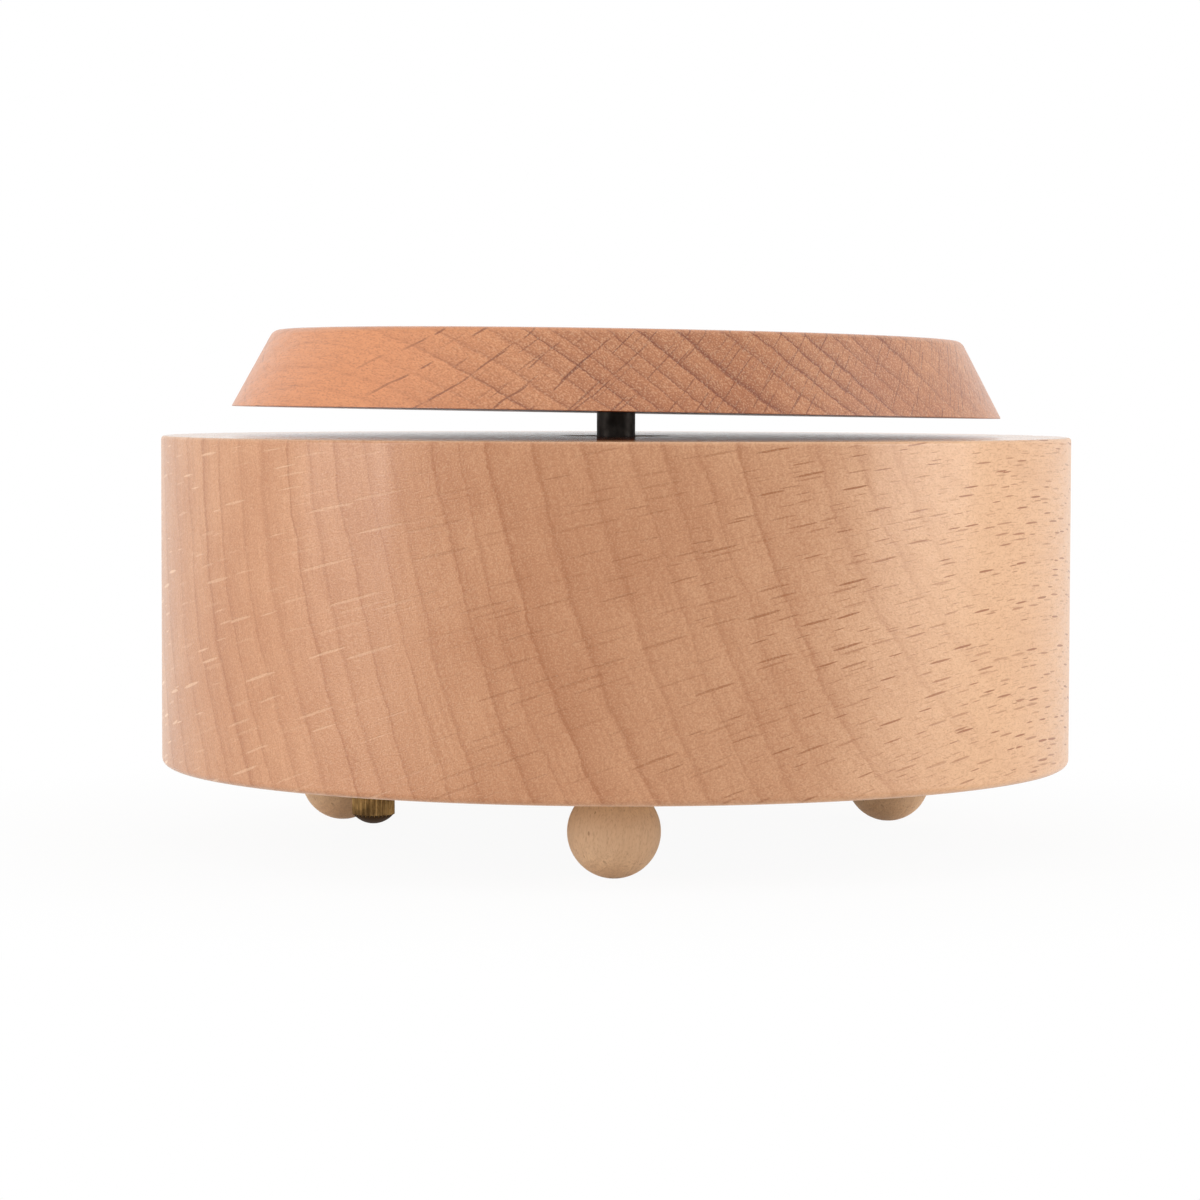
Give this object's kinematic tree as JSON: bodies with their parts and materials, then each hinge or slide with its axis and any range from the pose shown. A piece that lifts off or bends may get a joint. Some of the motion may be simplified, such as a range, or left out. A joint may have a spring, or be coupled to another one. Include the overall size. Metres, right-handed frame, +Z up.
{
  "type": "turntable music box",
  "caption": "Turned wooden drum on ball feet: a wooden disc on a short shaft winds and turns with the pinned-cylinder and comb movement inside, and a knurled knob below starts and stops it.",
  "frame": {"origin": "on the floor under the middle of the drum, at the centre of the bounding box's bottom", "axes": "+Z up along the drum's axis; -Y towards the front foot; the pinned cylinder and the stop knob lie towards -X"},
  "size_m": [0.12, 0.12, 0.0674],
  "materials": {
    "lacquered_beech": "turned beech under a satin lacquer",
    "bare_beech": "sanded beech",
    "plywood": "sanded plywood",
    "blackened_steel": "semi-gloss black",
    "bright_steel": "bright drawn",
    "spring_steel": "hardened, grey-blue",
    "nickel_plate": "satin nickel plating",
    "brass": "polished",
    "aged_brass": "darkened, lighter on the ridges",
    "fan_plastic": "moulded, off-white"
  },
  "bodies": {
    "case": {"base_drum": "lacquered_beech", "bottom_cover": "plywood", "ball_foot_front": "bare_beech", "ball_foot_right": "bare_beech", "ball_foot_left": "bare_beech", "foot_dowel_front": "bare_beech", "foot_dowel_right": "bare_beech", "foot_dowel_left": "bare_beech", "cover_screw_1": "bright_steel", "cover_screw_2": "bright_steel", "cover_screw_3": "bright_steel", "bedplate": "nickel_plate", "movement_screw_1": "bright_steel", "movement_screw_2": "bright_steel", "movement_screw_3": "bright_steel", "bedplate_screw_1": "bright_steel", "bedplate_screw_2": "bright_steel", "bedplate_screw_3": "bright_steel", "bedplate_screw_4": "bright_steel", "arbor_bush": "brass", "spring_barrel": "brass", "barrel_lid": "brass", "mainspring": "spring_steel", "barrel_pillar_1": "bright_steel", "barrel_pillar_2": "bright_steel", "barrel_pillar_3": "bright_steel", "comb_base": "nickel_plate", "comb": "spring_steel", "comb_screw_1": "bright_steel", "comb_screw_2": "bright_steel", "inner_bracket": "brass", "outer_bracket": "brass", "governor_frame": "brass", "stop_rod_bush": "brass"},
    "turntable": {"turntable_disc": "lacquered_beech", "turntable_shaft": "blackened_steel", "disc_flange": "blackened_steel", "flange_screw_1": "blackened_steel", "flange_screw_2": "blackened_steel", "flange_screw_3": "blackened_steel", "winding_arbor": "bright_steel", "ratchet_wheel": "bright_steel", "crown_wheel": "brass", "click": "bright_steel", "click_spring": "spring_steel"},
    "cylinder": {"pin_cylinder": "brass", "cylinder_arbor": "bright_steel", "cylinder_pinion": "bright_steel", "cylinder_gear": "brass"},
    "first_wheel_set": {"first_wheel": "brass", "first_pinion": "bright_steel"},
    "worm_wheel_set": {"worm_wheel": "brass", "worm_wheel_pinion": "bright_steel"},
    "governor": {"governor_worm": "bright_steel", "fan": "fan_plastic"},
    "stop": {"stop_rod": "brass", "stop_knob": "aged_brass"}
  },
  "joints": [
    {"name": "turntable_turn", "type": "hinge", "parent": "case", "child": "turntable", "pos_m": [0, 0, 0.04746], "axis": [0, 0, 1], "continuous": true},
    {"name": "cylinder_turn", "type": "hinge", "parent": "case", "child": "cylinder", "pos_m": [-0.0222, 0, 0.03466], "axis": [1, 0, 0], "continuous": true},
    {"name": "first_wheel_turn", "type": "hinge", "parent": "case", "child": "first_wheel_set", "pos_m": [-0.03305, -0.0086, 0.03279], "axis": [1, 0, 0], "continuous": true},
    {"name": "worm_wheel_turn", "type": "hinge", "parent": "case", "child": "worm_wheel_set", "pos_m": [-0.02681, -0.0154, 0.03445], "axis": [1, 0, 0], "continuous": true},
    {"name": "governor_turn", "type": "hinge", "parent": "case", "child": "governor", "pos_m": [-0.02681, -0.0107, 0.03445], "axis": [0, 0, 1], "continuous": true},
    {"name": "stop_knob_slide", "type": "slide", "parent": "case", "child": "stop", "axis": [0, 0, 1], "range_m": [0, 0.002]}
  ],
  "couplings": [
    {"joint": "cylinder_turn", "follows": "turntable_turn", "ratio": -4},
    {"joint": "first_wheel_turn", "follows": "turntable_turn", "ratio": 18},
    {"joint": "worm_wheel_turn", "follows": "turntable_turn", "ratio": -72},
    {"joint": "governor_turn", "follows": "turntable_turn", "ratio": 1440}
  ]
}
